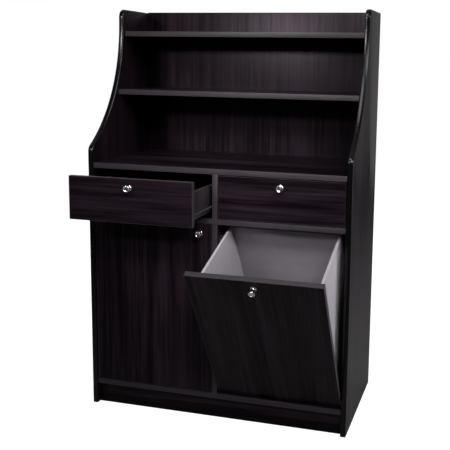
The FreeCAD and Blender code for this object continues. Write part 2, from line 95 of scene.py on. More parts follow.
class Nodes:
    """Short calls for building a node tree."""

    def __init__(self, tree: bpy.types.NodeTree) -> None:
        """Start on a tree, emptied first."""
        self.tree = tree
        tree.nodes.clear()

    def add(self, kind: str, settings: dict | None = None, **inputs: object) -> Node:
        """Add a node.

        Args:
            kind: The node's type name.
            settings: Values for the node's own properties.
            inputs: Values, sockets or nodes for its inputs, by name with _ for a space.

        Returns:
            The new node.
        """
        node = self.tree.nodes.new(kind)
        for key, value in (settings or {}).items():
            setattr(node, key, value)
        self.fill(node, **inputs)
        return node

    def fill(self, node: Node, **inputs: object) -> None:
        """Feed a node's inputs, by name with _ for a space."""
        for key, value in inputs.items():
            self.feed(node.inputs[key.replace("_", " ")], value)

    def feed(self, socket: Socket, value: object) -> None:
        """Set an input, or link it to an output or to a node's first output."""
        if isinstance(value, Node):
            value = value.outputs[0]
        if isinstance(value, Socket):
            self.tree.links.new(value, socket)
        else:
            socket.default_value = value

    def apply(self, kind: str, operation: str, *operands: object) -> Node:
        """Add a node that has an operation, such as Math, and feed it in order."""
        node = self.add(kind, {"operation": operation})
        for socket, operand in zip(node.inputs, operands):
            self.feed(socket, operand)
        return node

    def math(self, operation: str, first: object, second: object) -> Node:
        """Math node on two values, sockets or nodes."""
        return self.apply("ShaderNodeMath", operation, first, second)

    def object_coords(self, **mapping: object) -> Node:
        """Object coordinates, put through a Mapping node with these inputs."""
        where = self.add("ShaderNodeTexCoord").outputs["Object"]
        return self.add("ShaderNodeMapping", {"vector_type": "POINT"}, Vector=where, **mapping)

    def scaled(self, vector: Node, axis: int, factor: float) -> Node:
        """Vector with its part along one axis multiplied by a factor."""
        factors = [1.0, 1.0, 1.0]
        factors[axis] = factor
        return self.apply("ShaderNodeVectorMath", "MULTIPLY", vector, factors)

    def between(self, value: Socket, reach: Span, result: Span) -> Node:
        """Value that goes from one result to the other over its reach, and no further."""
        return self.add("ShaderNodeMapRange", {"clamp": True}, Value=value, From_Min=reach[0],
                        From_Max=reach[1], To_Min=result[0], To_Max=result[1])

    def ramp(self, factor: Node, edge: Span) -> Node:
        """Grey that rises from black to white over an edge of the factor."""
        node = self.add("ShaderNodeValToRGB", Fac=factor)
        for element, place in zip(node.color_ramp.elements, edge):
            element.position = place
        return node

    def blend(self, share: Node, first: object, second: object) -> Socket:
        """Mix of two colours, each a tuple or a socket, with a share of the second."""
        node = self.add("ShaderNodeMix", {"data_type": "RGBA"}, Factor=share)
        for socket, colour in zip(node.inputs[6:8], (first, second)):
            self.feed(socket, (*colour, 1.0) if isinstance(colour, tuple) else colour)
        return node.outputs[2]

    def bump(self, height: Node, strength: float, depth: float) -> Node:
        """Normal with the relief of a height."""
        return self.add("ShaderNodeBump", Strength=strength, Distance=depth, Height=height)


def new_material(name: str) -> tuple[Material, Nodes, Node]:
    """New material, its node builder and its Principled shader."""
    material = bpy.data.materials.new(name)
    material.use_nodes = True
    nodes = Nodes(material.node_tree)
    shader = nodes.add("ShaderNodeBsdfPrincipled")
    nodes.add("ShaderNodeOutputMaterial", Surface=shader)
    return material, nodes, shader


# Finishes

@dataclass(frozen=True)
class Look:
    """Material of a piece, and the record's material slot that it belongs to."""

    material: Material
    slot: str


@dataclass(frozen=True)
class Noise:
    """Noise texture."""

    per_m: float
    detail: float
    roughness: float = 0.5
    distortion: float = 0.0

    def add(self, nodes: Nodes, coords: Node) -> Node:
        """Add the texture to a tree."""
        return nodes.add("ShaderNodeTexNoise", Vector=coords, Scale=self.per_m, Detail=self.detail,
                         Roughness=self.roughness, Distortion=self.distortion)


@dataclass(frozen=True)
class Laminate:
    """Woodgrain laminate: a dark ground with lighter streaks, broad bands and fine pores."""

    name: str
    slot: str
    dark: RGB
    light: RGB
    roughness: float = 0.36
    specular: float = 0.17
    sheen_tint: RGB = (1.0, 0.86, 0.97)
    gloss_change: float = 0.34
    streaks: Noise = Noise(95.0, 6.0, 0.66, 0.35)
    bands: Noise = Noise(15.0, 2.0, 0.5, 0.8)
    pores: Noise = Noise(420.0, 1.5)
    along: float = 0.030
    pores_along: float = 0.012
    shift_share: RGB = (1.0, 0.7, 1.3)
    streak_share: float = 0.56
    contrast: Span = (0.40, 0.62)
    pore_edge: Span = (0.60, 0.70)
    pore_shade: float = 0.45
    streak_relief: float = 0.25
    relief_strength: float = 0.35
    pore_depth: float = 0.00006

    def look(self, grain: Grain, shift: float = 0.0, lean: float = 0.0) -> Look:
        """Make the laminate for one board.

        Args:
            grain: Direction of the grain.
            shift: Distance that moves the pattern, so that no two boards are alike.
            lean: Angle about X by which the board leans, in radians.

        Returns:
            The board's look.
        """
        name = f"{self.name}-{grain.name.lower()}-{round(shift * 100)}-{round(math.degrees(lean))}"
        material, nodes, shader = new_material(name)
        coords = nodes.object_coords(Rotation=(-lean, 0.0, 0.0),
                                     Location=[shift * share for share in self.shift_share])
        long_coords = nodes.scaled(coords, grain.value, self.along)
        streaks = self.streaks.add(nodes, long_coords)
        bands = self.bands.add(nodes, long_coords)
        pores = self.pores.add(nodes, nodes.scaled(coords, grain.value, self.pores_along))
        mixed = nodes.math("ADD", nodes.math("MULTIPLY", streaks, self.streak_share),
                           nodes.math("MULTIPLY", bands, 1.0 - self.streak_share))
        pore_mask = nodes.ramp(pores, self.pore_edge)
        ground = nodes.blend(nodes.ramp(mixed, self.contrast), self.dark, self.light)
        shade = tuple(c * self.pore_shade for c in self.dark)
        wear = nodes.math("MULTIPLY", mixed, self.gloss_change)
        dullest = self.roughness + self.gloss_change / 2.0
        raised = nodes.math("MULTIPLY", streaks, self.streak_relief)
        relief = nodes.math("SUBTRACT", raised, pore_mask)
        nodes.fill(shader, Base_Color=nodes.blend(pore_mask, ground, shade),
                   Roughness=nodes.math("SUBTRACT", dullest, wear),
                   Normal=nodes.bump(relief, self.relief_strength, self.pore_depth),
                   Specular_IOR_Level=self.specular, Specular_Tint=(*self.sheen_tint, 1.0))
        return Look(material, self.slot)


@dataclass(frozen=True)
class Plain:
    """Finish of one colour with fine mottling, wear in its gloss and a slight relief."""

    name: str
    slot: str
    colour: RGB
    roughness: float
    metallic: float = 0.0
    specular: float = 0.5
    mottle: float = 0.12
    mottle_per_m: float = 60.0
    mottle_edge: Span = (0.3, 0.7)
    gloss_wear: float = 0.12
    least_roughness: float = 0.02
    relief: float = 0.00004
    relief_per_m: float = 900.0
    relief_strength: float = 0.4
    stretch: RGB = (1.0, 1.0, 1.0)

    def look(self) -> Look:
        """Look with the material of this name, made if neither script nor frame has it."""
        return Look(bpy.data.materials.get(self.name) or self._material(), self.slot)

    def _material(self) -> Material:
        """Make the finish."""
        material, nodes, shader = new_material(self.name)
        coords = nodes.object_coords(Scale=self.stretch)
        cloud = Noise(self.mottle_per_m, detail=4.0, roughness=0.6).add(nodes, coords)
        speck = Noise(self.relief_per_m, detail=2.0).add(nodes, coords)
        low = tuple(c * (1.0 - self.mottle) for c in self.colour)
        high = tuple(min(1.0, c * (1.0 + self.mottle)) for c in self.colour)
        tone = nodes.ramp(cloud, self.mottle_edge)
        worn = nodes.math("MULTIPLY", cloud, self.gloss_wear)
        start = max(self.least_roughness, self.roughness - self.gloss_wear / 2.0)
        nodes.fill(shader, Base_Color=nodes.blend(tone, low, high),
                   Roughness=nodes.math("ADD", worn, start),
                   Normal=nodes.bump(speck, self.relief_strength, self.relief),
                   Metallic=self.metallic, Specular_IOR_Level=self.specular)
        return material


WOODGRAIN = Laminate("dark_woodgrain", "dark_woodgrain_board", dark=(0.0015, 0.0004, 0.0012),
                     light=(0.0230, 0.0142, 0.0210), contrast=(0.42, 0.62))
SIDE_WOODGRAIN = Laminate("dark_woodgrain_sides", "dark_woodgrain_board",
                          dark=(0.0015, 0.0004, 0.0012), light=(0.0180, 0.0112, 0.0165),
                          gloss_change=0.06)
BOX_WOODGRAIN = Laminate("drawer_box_woodgrain", "drawer_box_board", dark=(0.012, 0.0090, 0.0115),
                         light=(0.046, 0.0390, 0.0460), gloss_change=0.12,
                         streaks=Noise(150.0, 6.0, 0.66, 0.35))
MOULDING = Plain("black_moulding", "black_edge_moulding", (0.0022, 0.0019, 0.0022), 0.22,
                 specular=0.3, mottle=0.2, gloss_wear=0.06, relief=0.00001, relief_per_m=350.0)
BAND = Plain("grey_brown_band", "grey_brown_edging", (0.035, 0.0285, 0.0350), 0.42,
             specular=0.32, mottle=0.16, mottle_per_m=140.0, stretch=(0.06, 1.0, 1.0))
LINER = Plain("grey_liner", "light_grey_board", (0.42, 0.39, 0.43), 0.52, specular=0.3,
              mottle=0.05, mottle_per_m=26.0, relief=0.00006, relief_per_m=1500.0)
CHROME = Plain("polished_chrome", "polished_chrome", (0.60, 0.595, 0.61), 0.06, metallic=1.0,
               mottle=0.02, gloss_wear=0.04, relief=0.000004, relief_per_m=500.0)
ZINC = Plain("zinc_plated_steel", "zinc_steel", (0.60, 0.60, 0.62), 0.34, metallic=1.0,
             mottle=0.10, mottle_per_m=240.0)
DARK_PAINT = Plain("dark_painted_steel", "dark_painted_steel", (0.009, 0.0080, 0.009), 0.42,
                   specular=0.3, mottle=0.15, mottle_per_m=90.0, relief_per_m=1400.0)
NYLON = Plain("moulded_nylon", "roller_plastic", (0.62, 0.61, 0.58), 0.42, mottle=0.05,
              relief_per_m=700.0)
DARK_PLASTIC = Plain("dark_moulded_plastic", "dark_plastic", (0.014, 0.0125, 0.0135), 0.45,
                     mottle=0.15)
RUBBER = Plain("black_rubber", "black_rubber", (0.010, 0.010, 0.010), 0.78, specular=0.25,
               mottle=0.2, relief=0.00008)


# Meshes

BOX_FACES = ((0, 1, 3, 2), (4, 6, 7, 5), (0, 4, 5, 1), (2, 3, 7, 6), (0, 2, 6, 4), (1, 5, 7, 3))


def add_box(shape: Mesh, lo: Vector, hi: Vector) -> None:
    """Add a closed box to a mesh, its faces outwards."""
    corners = [(x, y, z) for x in (lo.x, hi.x) for y in (lo.y, hi.y) for z in (lo.z, hi.z)]
    verts = [shape.verts.new(corner) for corner in corners]
    for face in BOX_FACES:
        shape.faces.new([verts[i] for i in face])


def add_frame(shape: Mesh, lo: Vector, hi: Vector, width: float) -> None:
    """Add a closed rectangular ring round a board's four edges.

    Args:
        shape: The mesh.
        lo: Lowest corner of the ring.
        hi: Highest corner of the ring.
        width: Width of the ring in X and Z.
    """
    rings = []
    for y in (lo.y, hi.y):
        for inset in (0.0, width):
            x0, x1 = lo.x + inset, hi.x - inset
            z0, z1 = lo.z + inset, hi.z - inset
            places = ((x0, z0), (x1, z0), (x1, z1), (x0, z1))
            rings.append([shape.verts.new((x, y, z)) for x, z in places])
    front, front_in, back, back_in = rings
    for i, j in ((0, 1), (1, 2), (2, 3), (3, 0)):
        shape.faces.new((front[i], front[j], front_in[j], front_in[i]))
        shape.faces.new((back[j], back[i], back_in[i], back_in[j]))
        shape.faces.new((front[j], front[i], back[i], back[j]))
        shape.faces.new((front_in[i], front_in[j], back_in[j], back_in[i]))


def add_turned(shape: Mesh, profile: Profile, place: Matrix, sides: int = 56) -> None:
    """Add a closed turned solid.

    Args:
        shape: The mesh.
        profile: Radii and heights from the bottom centre to the top centre, both on the axis.
        place: Matrix that puts the turned solid's Z axis in place.
        sides: Number of sides round the axis.
    """
    turns = [2.0 * math.pi * i / sides for i in range(sides)]
    rings = []
    for radius, height in profile:
        ring = [(radius * math.cos(t), radius * math.sin(t), height) for t in turns]
        if radius <= 0.0:
            ring = [(0.0, 0.0, height)]
        rings.append([shape.verts.new(place @ Vector(point)) for point in ring])
    for lower, upper in zip(rings, rings[1:]):
        for i in range(sides):
            j = (i + 1) % sides
            if len(lower) == 1:
                shape.faces.new((lower[0], upper[j], upper[i]))
            elif len(upper) == 1:
                shape.faces.new((lower[i], lower[j], upper[0]))
            else:
                shape.faces.new((lower[i], lower[j], upper[j], upper[i]))


def quarter(start: Span, end: Span, steps: int, bulge: bool) -> Profile:
    """Quarter of an ellipse between two profile points.

    Args:
        start: Radius and height where it starts.
        end: Radius and height where it ends.
        steps: Number of points after the start.
        bulge: Whether it leaves the start along the height and not along the radius.

    Returns:
        The points after the start, the end included.
    """
    points = []
    for i in range(1, steps + 1):
        turn = math.pi / 2.0 * i / steps
        quick, slow = math.sin(turn), 1.0 - math.cos(turn)
        across, up = (slow, quick) if bulge else (quick, slow)
        points.append((start[0] + (end[0] - start[0]) * across,
                       start[1] + (end[1] - start[1]) * up))
    return points


def evenly(low: float, high: float, margin: float, count: int) -> list[float]:
    """Even places between two ends, the first and last a margin from them."""
    span = high - low - 2.0 * margin
    return [low + margin + span * i / (count - 1) for i in range(count)]


def node_mesh(node: str) -> Mesh:
    """New mesh of a CAD node in the model's frame, with its loose triangles joined."""
    shape = bmesh.new()
    shape.from_mesh(frame["nodes"][node].data)
    bmesh.ops.remove_doubles(shape, verts=shape.verts, dist=MERGE_DISTANCE)
    return shape


def solids_of(node: str, place: Matrix = UNMOVED) -> list[Box]:
    """Boxes of a CAD node's solids from left to right, put through a matrix first."""
    shape = node_mesh(node)
    left = set(shape.verts)
    boxes = []
    while left:
        heap = [left.pop()]
        points = []
        while heap:
            vert = heap.pop()
            points.append(place @ vert.co)
            near = {edge.other_vert(vert) for edge in vert.link_edges} & left
            left -= near
            heap.extend(near)
        boxes.append((Vector(min(p[i] for p in points) for i in range(3)),
                      Vector(max(p[i] for p in points) for i in range(3))))
    shape.free()
    return sorted(boxes, key=lambda pair: tuple(round(c, 4) for c in pair[0]))


def middle_of(solid: Box) -> Vector:
    """Middle of a box."""
    return (solid[0] + solid[1]) / 2.0


def new_object(name: str, data: bpy.types.ID) -> bpy.types.Object:
    """New object in the scene."""
    made = bpy.data.objects.new(name, data)
    bpy.context.scene.collection.objects.link(made)
    return made


# Patterns, each laid out by a Geometry Nodes tree

class Pattern:
    """Geometry Nodes tree whose result is kept as a plain mesh."""

    def __init__(self, name: str, **inputs: str) -> None:
        """Start the tree, with a geometry input and the kinds of its other inputs by name."""
        self.tree = bpy.data.node_groups.new(name, "GeometryNodeTree")
        face = self.tree.interface
        self.keys: dict[str, str] = {}
        for key, kind in {"Source": "Geometry", **inputs}.items():
            socket = face.new_socket(key, in_out="INPUT", socket_type=f"NodeSocket{kind}")
            self.keys[key] = socket.identifier
        face.new_socket("Result", in_out="OUTPUT", socket_type="NodeSocketGeometry")
        self.nodes = Nodes(self.tree)
        self.given = self.nodes.add("NodeGroupInput").outputs

    def close(self, geometry: Node) -> None:
        """Make the geometry real, give it its material and put it out."""
        real = self.nodes.add("GeometryNodeRealizeInstances", Geometry=geometry)
        painted = self.nodes.add("GeometryNodeSetMaterial", Geometry=real,
                                 Material=self.given["Finish"])
        self.nodes.add("NodeGroupOutput", Result=painted)

    def mesh(self, name: str, points: list[tuple], edges: list[tuple[int, int]],
             **values: object) -> Mesh:
        """Run the tree.

        Args:
            name: Name for the source.
            points: Points of the source.
            edges: Edges between them.
            values: Values of the tree's inputs by name.

        Returns:
            The result's mesh in the model's frame.
        """
        source = bpy.data.meshes.new(name)
        source.from_pydata(points, edges, [])
        holder = new_object(name, source)
        modifier = holder.modifiers.new("pattern", "NODES")
        modifier.node_group = self.tree
        for key, value in values.items():
            modifier[self.keys[key]] = value
        graph = bpy.context.evaluated_depsgraph_get()
        mesh = bpy.data.meshes.new_from_object(holder.evaluated_get(graph))
        shape = bmesh.new()
        shape.from_mesh(mesh)
        bpy.data.objects.remove(holder)
        bpy.data.meshes.remove(mesh)
        return shape


class HeadPattern(Pattern):
    """Fastener heads on points."""

    top_share = {Head.CROSS_SCREW: 0.62, Head.COVER_CAP: 0.94}
    sides = 20
    cross_length = 0.46
    cross_width = 0.11

    def __init__(self, head: Head) -> None:
        """Build the tree for a kind of head."""
        super().__init__(f"{head.value}_pattern", Diameter="Float", Height="Float",
                         Facing="Vector", Finish="Material", Seed="Int")
        nodes, given = self.nodes, self.given
        radius = nodes.math("MULTIPLY", given["Diameter"], 0.5)
        top = nodes.math("MULTIPLY", radius, self.top_share[head])
        solid = nodes.add("GeometryNodeMeshCone", Vertices=self.sides, Radius_Top=top,
                          Radius_Bottom=radius, Depth=given["Height"])
        if head is Head.CROSS_SCREW:
            solid = self._with_cross(solid)
        turn = nodes.add("FunctionNodeRandomValue", {"data_type": "FLOAT"}, Seed=given["Seed"])
        nodes.feed(turn.inputs[3], math.pi)
        spin = nodes.add("ShaderNodeCombineXYZ", Z=turn.outputs[1])
        facing = nodes.add("FunctionNodeAlignRotationToVector", {"axis": "Z"},
                           Vector=given["Facing"])
        turned = nodes.add("FunctionNodeRotateRotation", {"rotation_space": "LOCAL"},
                           Rotation=facing, Rotate_By=spin)
        self.close(nodes.add("GeometryNodeInstanceOnPoints", Points=given["Source"],
                             Instance=solid, Rotation=turned))

    def _with_cross(self, solid: Node) -> Node:
        """Cut a cross recess into a head."""
        nodes, given = self.nodes, self.given
        length = nodes.math("MULTIPLY", given["Diameter"], self.cross_length)
        width = nodes.math("MULTIPLY", given["Diameter"], self.cross_width)
        lift = nodes.add("ShaderNodeCombineXYZ", Z=given["Height"])
        cut = nodes.add("GeometryNodeMeshBoolean", {"operation": "DIFFERENCE", "solver": "EXACT"},
                        Mesh_1=solid)
        for first, second in ((length, width), (width, length)):
            size = nodes.add("ShaderNodeCombineXYZ", X=first, Y=second, Z=given["Height"])
            bar = nodes.add("GeometryNodeMeshCube", Size=size)
            raised = nodes.add("GeometryNodeTransform", Geometry=bar, Translation=lift)
            nodes.feed(cut.inputs["Mesh 2"], raised)
        return cut


class MouldingPattern(Pattern):
    """Rounded moulding along a path in the XY plane, its width along Z."""

    resolution = 25

    def __init__(self) -> None:
        """Build the tree."""
        super().__init__("edge_moulding_run", Width="Float", Crown="Float", Finish="Material")
        nodes, given = self.nodes, self.given
        path = nodes.add("GeometryNodeMeshToCurve", Mesh=given["Source"])
        level = nodes.add("GeometryNodeSetCurveNormal", {"mode": "Z_UP"}, Curve=path)
        arc = nodes.add("GeometryNodeCurveArc", {"mode": "RADIUS"}, Resolution=self.resolution,
                        Radius=1.0, Start_Angle=0.0, Sweep_Angle=math.pi)
        half = nodes.math("MULTIPLY", given["Width"], 0.5)
        size = nodes.add("ShaderNodeCombineXYZ", X=given["Crown"], Y=half, Z=1.0)
        turned = nodes.add("GeometryNodeTransform", Geometry=arc,
                           Rotation=(0.0, 0.0, math.pi / 2.0))
        crown = nodes.add("GeometryNodeTransform", Geometry=turned, Scale=size)
        shut = nodes.add("GeometryNodeSetSplineCyclic", Geometry=crown, Cyclic=True)
        self.close(nodes.add("GeometryNodeCurveToMesh", Curve=level, Profile_Curve=shut,
                             Fill_Caps=True))


@cache
def head_pattern(head: Head) -> HeadPattern:
    """Pattern for one kind of head, made when it is first asked for."""
    return HeadPattern(head)


@dataclass(frozen=True)
class Fastener:
    """Head of a fastener."""

    diameter: float
    height: float
    head: Head = Head.CROSS_SCREW
    finish: Plain = ZINC


KNOB_SCREW = Fastener(0.0082, 0.0024)
WALL_SCREW = Fastener(0.0065, 0.0010)
RAIL_SCREW = Fastener(0.0070, 0.0012)
BACK_SCREW = Fastener(0.0070, 0.0009)
STRIKE_SCREW = Fastener(0.0055, 0.0006)
BLOCK_CAP = Fastener(0.0120, 0.0008, Head.COVER_CAP, DARK_PLASTIC)
SHELF_CAP = Fastener(0.0150, 0.0008, Head.COVER_CAP, DARK_PLASTIC)


# Sub-assemblies

@dataclass(frozen=True)
class BoardSet:
    """Boards of one laminate and grain, each with its pattern a step further on."""

    laminate: Laminate
    grain: Grain
    nodes: tuple[str, ...]
    shift: float = 0.0
    step: float = 0.0


@dataclass(kw_only=True)
class SubAssembly:
    """Group of pieces that one maker's drawing would show, and that one body carries."""

    body: str = "case"

    def put(self, name: str, shape: Mesh, look: Look, stands_for: tuple[str, ...] = (),
            arris: float = 0.0, rounds: int = 2) -> None:
        """Turn a mesh into a finished piece that rides on the body.

        Args:
            name: The piece's name.
            shape: The mesh, which is freed.
            look: Its look.
            stands_for: CAD nodes that it replaces.
            arris: Width of a bevel, or 0 for none.
            rounds: Segments of the bevel.
        """
        body, slot = self.body, look.slot
        mesh = bpy.data.meshes.new(name)
        shape.to_mesh(mesh)
        shape.free()
        mesh.materials.append(look.material)
        for polygon in mesh.polygons:
            polygon.material_index = 0
        mesh.shade_smooth()
        piece = new_object(name, mesh)
        if arris > 0.0:
            bevel = piece.modifiers.new("arris", "BEVEL")
            bevel.width = arris
            bevel.segments = rounds
            bevel.limit_method = "ANGLE"
            bevel.angle_limit = SMOOTH_ANGLE
            bevel.harden_normals = True
            bevel.use_clamp_overlap = True
        else:
            mesh.set_sharp_from_angle(angle=SMOOTH_ANGLE)
        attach(piece, body)
        if stands_for:
            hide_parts(*stands_for)
        log.info("made %s on %s", name, body)

    def board(self, node: str, look: Look, arris: float = 0.0004) -> None:
        """Replace a CAD node by its own shape with softened arrises."""
        shape = node_mesh(node)
        bmesh.ops.dissolve_limit(shape, angle_limit=FLAT_ANGLE, verts=shape.verts[:],
                                 edges=shape.edges[:])
        self.put(f"{node}.finished", shape, look, (node,), arris)

    def boards(self, group: BoardSet) -> None:
        """Replace the CAD nodes of a set of boards."""
        for index, node in enumerate(group.nodes):
            shift = group.shift + index * group.step
            self.board(node, group.laminate.look(group.grain, shift))

    def parts(self, finish: Plain, arris: float, *nodes: str) -> None:
        """Replace CAD nodes by parts of one finish and arris."""
        for node in nodes:
            self.board(node, finish.look(), arris)

    def fasten(self, name: str, fastener: Fastener, places: list[Vector], facing: Vector) -> None:
        """Put fastener heads on the body.

        Args:
            name: The piece's name.
            fastener: Kind of fastener.
            places: Points on the surface that carries them.
            facing: Direction that the heads face.
        """
        look = fastener.finish.look()
        shape = head_pattern(fastener.head).mesh(
            name, [tuple(place) for place in places], [], Diameter=fastener.diameter,
            Height=fastener.height, Facing=tuple(facing), Finish=look.material, Seed=len(places))
        self.put(name, shape, look)


@dataclass
class CaseBoards(SubAssembly):
    """Sides, backs, dividers, shelves, plinths and edgings of the fixed case."""

    sets: tuple[BoardSet, ...] = (
        BoardSet(SIDE_WOODGRAIN, Grain.UPRIGHT, ("left_side_panel", "right_side_panel"), 0.0, 0.37),
        BoardSet(WOODGRAIN, Grain.UPRIGHT,
                 ("upper_back", "lower_back", "upper_divider", "lower_divider"), 0.0, 0.31),
        BoardSet(WOODGRAIN, Grain.SIDEWAYS,
                 ("top_shelf", "middle_shelf", "worktop", "drawer_shelf", "bottom_shelf",
                  "front_plinth", "rear_plinth", "cupboard_shelf"), 0.1, 0.27),
        BoardSet(WOODGRAIN, Grain.FRONT_TO_BACK, ("plinth_bearer",), 0.5),
    )
    band_arris: float = 0.0006
    moulding_arris: float = 0.0008

    def build(self) -> None:
        """Make every board of the case."""
        for group in self.sets:
            self.boards(group)
        self.parts(BAND, self.band_arris, "shelf_edgings", "case_edgings")
        self.parts(MOULDING, self.moulding_arris, "upper_back_edging")


@dataclass
class EdgeMouldings(SubAssembly):
    """Rounded black mouldings on the curved fronts and tops of the side panels."""

    near: float = 0.00002

    def path(self, panel: str, outer: int) -> Profile:
        """Front and top edge of a side panel as Y and Z, from the floor to the back.

        Args:
            panel: The side panel's node.
            outer: Whether the panel's plain outer face is its lower (0) or upper (1) one in X.

        Returns:
            The points of the edge in order.
        """
        lo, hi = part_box(panel)
        face = (lo.x, hi.x)[outer]
        shape = node_mesh(panel)
        outline = {(round(v.co.y, 6), round(v.co.z, 6)) for v in shape.verts
                   if abs(v.co.x - face) < self.near}
        shape.free()
        edge = [p for p in outline if p[0] < hi.y - self.near or p[1] > lo.z + self.near]
        return sorted(edge, key=lambda p: p[0] + p[1])

    def build(self) -> None:
        """Make both mouldings."""
        pattern = MouldingPattern()
        upright = Matrix(((0, 0, 1, 0), (1, 0, 0, 0), (0, 1, 0, 0), (0, 0, 0, 1)))
        look = MOULDING.look()
        for outer, side in enumerate(("left", "right")):
            node = f"{side}_edge_moulding"
            panel = f"{side}_side_panel"
            lo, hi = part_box(node)
            points = [(y, z, 0.0) for y, z in self.path(panel, outer)]
            edges = [(i, i + 1) for i in range(len(points) - 1)]
            shape = pattern.mesh(node, points, edges, Width=hi.x - lo.x,
                                 Crown=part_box(panel)[0].y - lo.y, Finish=look.material)
            shape.transform(Matrix.Translation(X_AXIS * ((lo.x + hi.x) / 2.0)) @ upright)
            bmesh.ops.recalc_face_normals(shape, faces=shape.faces[:])
            self.put(f"{node}.run", shape, look, (node,))


@dataclass
class CaseRails(SubAssembly):
    """Fixed rails of the roller runners, with their screws."""

    arris: float = 0.0002
    screws: int = 3
    screw_margin: float = 0.060
    screw_drop: float = 0.0065
    web_t: float = 0.0012
    facing: tuple[float, ...] = (1.0, -1.0, 1.0, -1.0)

    def build(self) -> None:
        """Make the rails and what fixes them."""
        self.parts(DARK_PAINT, self.arris, "case_rails")
        for index, ((lo, hi), sign) in enumerate(zip(solids_of("case_rails"), self.facing)):
            web = (lo.x if sign > 0.0 else hi.x) + sign * self.web_t
            places = [Vector((web, y, hi.z - self.screw_drop))
                      for y in evenly(lo.y, hi.y, self.screw_margin, self.screws)]
            self.fasten(f"case_rail_{index + 1}_screws", RAIL_SCREW, places, X_AXIS * sign)


@dataclass
class CaseFittings(SubAssembly):
    """Small fittings of the case: bushes, stops, shelf pins, caps and back screws."""

    cap_from_end: float = 0.0340
    cap_from_edge: float = 0.0450
    back_screw_spacing: float = 0.120
    back_screw_inset: float = 0.0100
    bush_arris: float = 0.0003
    steel_arris: float = 0.0004
    buffer_arris: float = 0.0012

    def build(self) -> None:
        """Make the fittings."""
        self.parts(DARK_PLASTIC, self.bush_arris, "pivot_bushes")
        self.parts(ZINC, self.steel_arris, "shelf_pins", "stop_bolts")
        self.parts(RUBBER, self.buffer_arris, "stop_buffers")
        self._cover_caps()
        self._back_screws()

    def _cover_caps(self) -> None:
        """Caps over the fittings that hold the shelves to the sides."""
        places = []
        for node in ("top_shelf", "middle_shelf", "worktop", "drawer_shelf", "bottom_shelf"):
            lo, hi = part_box(node)
            for x in (lo.x + self.cap_from_end, hi.x - self.cap_from_end):
                for y in (lo.y + self.cap_from_edge, hi.y - self.cap_from_edge):
                    places.append(Vector((x, y, lo.z)))
        self.fasten("shelf_fitting_caps", SHELF_CAP, places, -Z_AXIS)

    def _back_screws(self) -> None:
        """Screws round the thin back and down its middle."""
        lo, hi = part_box("lower_back")
        inset = self.back_screw_inset
        x0, x1, z0, z1 = lo.x + inset, hi.x - inset, lo.z + inset, hi.z - inset
        across = round((x1 - x0) / self.back_screw_spacing)
        up = round((z1 - z0) / self.back_screw_spacing)
        places = [Vector((x0 + (x1 - x0) * i / across, hi.y, z)) for i in range(across + 1)
                  for z in (z0, z1)]
        places += [Vector((x, hi.y, z0 + (z1 - z0) * i / up)) for i in range(1, up)
                   for x in (x0, x1, (x0 + x1) / 2.0)]
        self.fasten("back_screws", BACK_SCREW, places, Y_AXIS)


@dataclass
class Catches(SubAssembly):
    """Magnetic catches with two steel poles each."""

    pole_t: float = 0.0014
    pole_gap: float = 0.0032
    pole_out: float = 0.0004
    pole_in: float = 0.004
    pole_inset_share: float = 0.2
    arris: float = 0.0012
    pole_arris: float = 0.0001

    def build(self) -> None:
        """Make both catches."""
        housing = bmesh.new()
        poles = bmesh.new()
        for lo, hi in solids_of("magnetic_catches"):
            add_box(housing, lo, hi)
            size = hi - lo
            across, along = (2, 0) if size.z < size.x else (0, 2)
            inset = size[along] * self.pole_inset_share
            for sign in (-1.0, 1.0):
                pole_lo, pole_hi = lo.copy(), hi.copy()
                place = middle_of((lo, hi))[across] + sign * self.pole_gap
                pole_lo[across] = place - self.pole_t / 2.0
                pole_hi[across] = place + self.pole_t / 2.0
                pole_lo[along] += inset
                pole_hi[along] -= inset
                pole_lo.y -= self.pole_out
                pole_hi.y = lo.y + self.pole_in
                add_box(poles, pole_lo, pole_hi)
        self.put("magnetic_catches.housings", housing, DARK_PLASTIC.look(),
                 ("magnetic_catches",), self.arris, 3)
        self.put("magnetic_catches.poles", poles, ZINC.look(), (), self.pole_arris, 1)


@dataclass(frozen=True)
class KnobShape:
    """Turned knob with a waisted neck and a rimmed, dished head."""

    foot: float = 0.0012
    foot_inset: float = 0.001
    edge_round: float = 0.0004
    neck: float = 0.0050
    neck_out: float = 0.0090
    head_t: float = 0.0052
    head_rise: float = 0.0005
    rim: float = 0.0013
    rim_depth_share: float = 0.9
    dish: float = 0.0034
    steps: int = 9
    brow_steps: int = 6
    rim_steps: int = 5

    def profile(self, head: float, out: float) -> Profile:
        """Outline of the knob.

        Args:
            head: Radius of the head.
            out: How far the knob stands out.

        Returns:
            Radii and heights from the foot's centre to the dish's centre.
        """
        base = head - self.foot_inset
        under = out - self.head_t
        waist = (self.neck, self.neck_out)
        brow = (head, out - self.rim)
        crest = (head - self.rim, out)
        dish = (head - 2.0 * self.rim, out - self.rim * self.rim_depth_share)
        return [(0.0, 0.0), (base - self.edge_round, 0.0), (base, self.edge_round),
                (base, self.foot), *quarter((base, self.foot), waist, self.steps, False),
                *quarter(waist, (head - self.edge_round, under), self.steps, True),
                (head, under + self.head_rise), brow,
                *quarter(brow, crest, self.brow_steps, True),
                *quarter(crest, dish, self.rim_steps, False),
                *quarter(dish, (0.0, out - self.dish), self.steps, True)]


